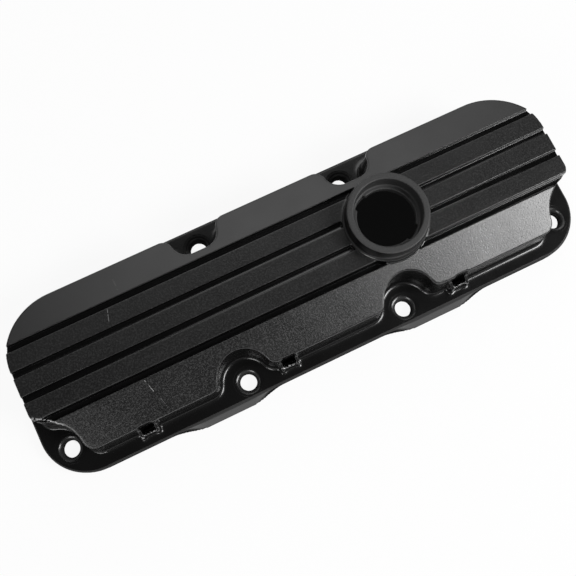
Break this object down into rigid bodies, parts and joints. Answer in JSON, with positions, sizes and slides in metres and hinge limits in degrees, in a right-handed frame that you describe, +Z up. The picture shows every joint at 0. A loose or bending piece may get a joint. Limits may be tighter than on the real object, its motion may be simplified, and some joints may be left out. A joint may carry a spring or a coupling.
{
  "type": "engine valve cover",
  "caption": "Long hollow die-cast valve cover in black paint, with grooved ribs on top, a sloping grained front, recessed bolt holes and a round oil filler neck.",
  "frame": {"origin": "middle of the bounding box, on the gasket face at the bottom", "axes": "+X along the cover towards the end with the filler neck, -Y towards the sloping grained front, +Z up, away from the engine"},
  "size_m": [0.365, 0.1174, 0.058],
  "materials": {
    "black_paint": "black paint on die-cast aluminium, satin, grained on the front slope"
  },
  "bodies": {
    "root": {"valve_cover": "black_paint"}
  },
  "joints": []
}
